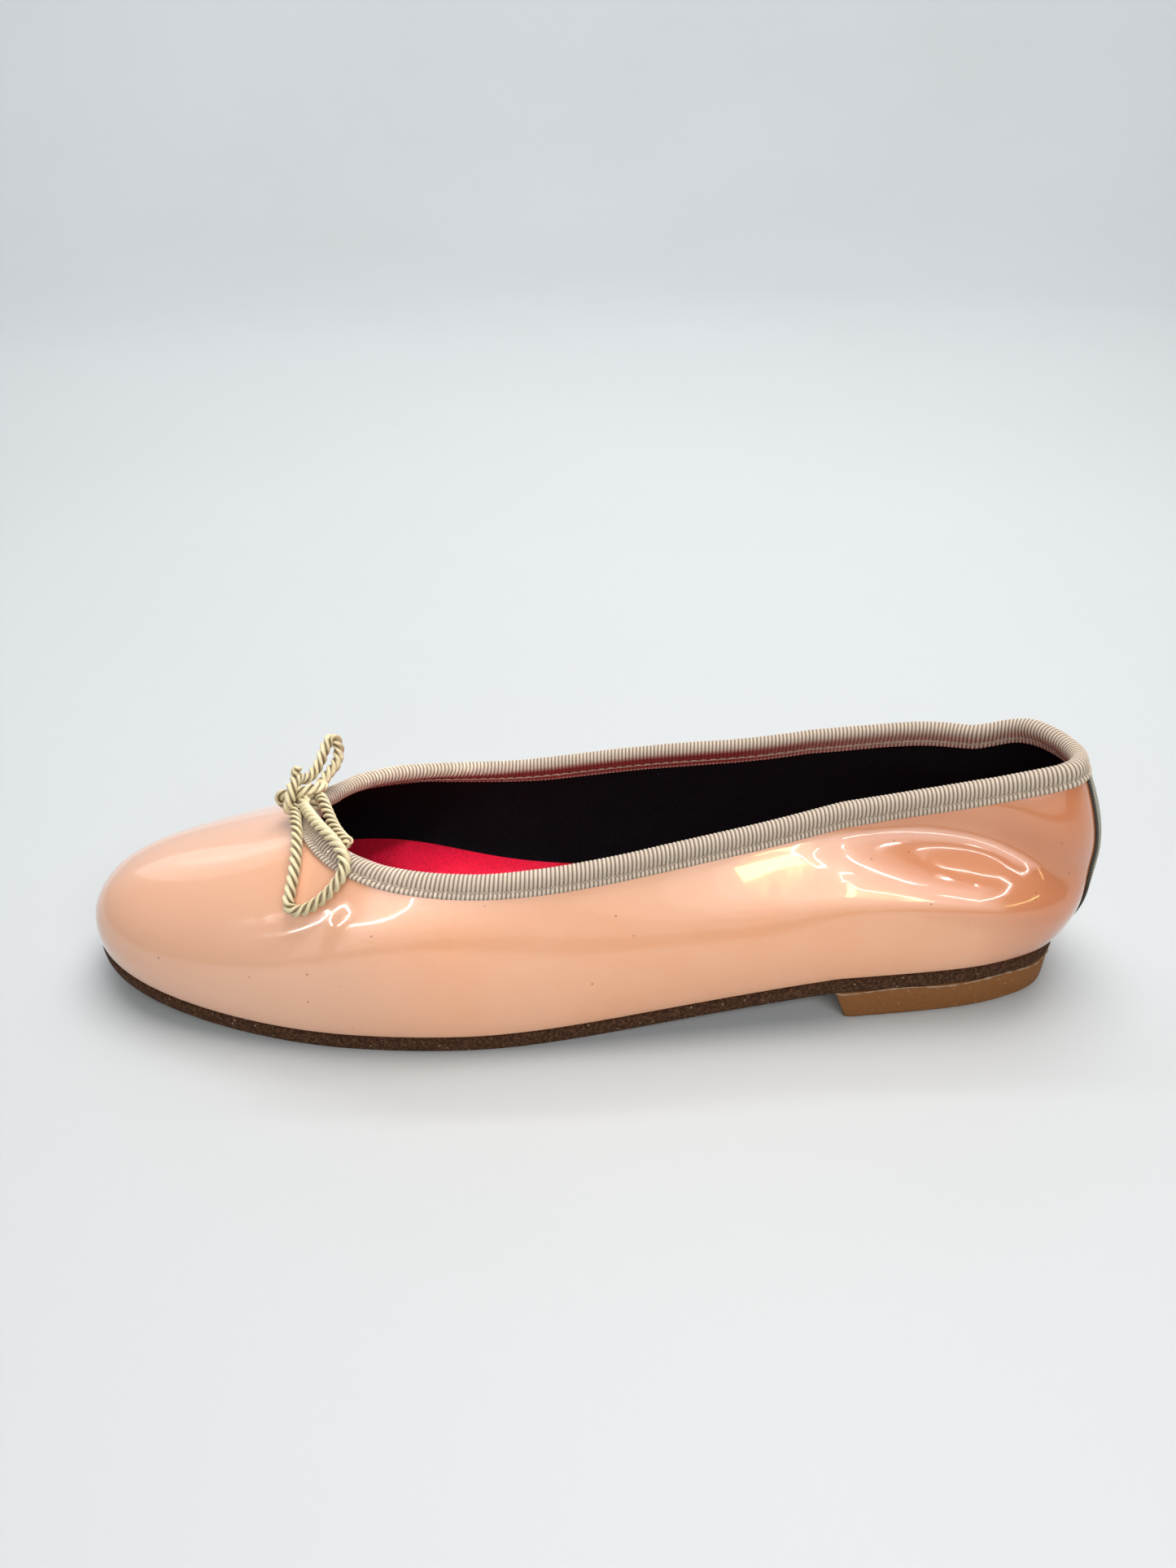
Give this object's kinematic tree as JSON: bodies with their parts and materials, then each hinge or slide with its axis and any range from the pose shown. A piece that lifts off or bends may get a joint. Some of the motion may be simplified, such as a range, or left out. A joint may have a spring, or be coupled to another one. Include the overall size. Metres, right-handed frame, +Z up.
{
  "type": "ballet flat",
  "caption": "Left ballet flat in patent leather with a low throat, folded tape around the topline, a thin cord bow, a thin sole and a low heel block.",
  "frame": {"origin": "on the floor under the middle of the shoe's box, the cord bow left out", "axes": "+X from toe to heel, -Y toward the lateral side, +Z up"},
  "size_m": [0.2496, 0.085, 0.0615],
  "materials": {
    "outsole": "dark brown board with a matt ground edge",
    "heel": "tan speckled rubber, matt",
    "upper": "glossy patent leather, peach, black cotton lining inside",
    "insole": "fine grained red leather, satin",
    "tape": "ribbed greige tape, matt",
    "strip": "ribbed grey tape, matt",
    "cord": "twisted champagne rayon cord with a soft sheen"
  },
  "bodies": {
    "root": {"outsole": "outsole", "heel": "heel", "upper": "upper", "insole": "insole", "topline_binding": "tape", "back_strip": "strip", "bow_knot": "cord", "bow_loop_lateral": "cord", "bow_end_lateral": "cord", "bow_loop_medial": "cord", "bow_end_medial": "cord"}
  },
  "joints": []
}
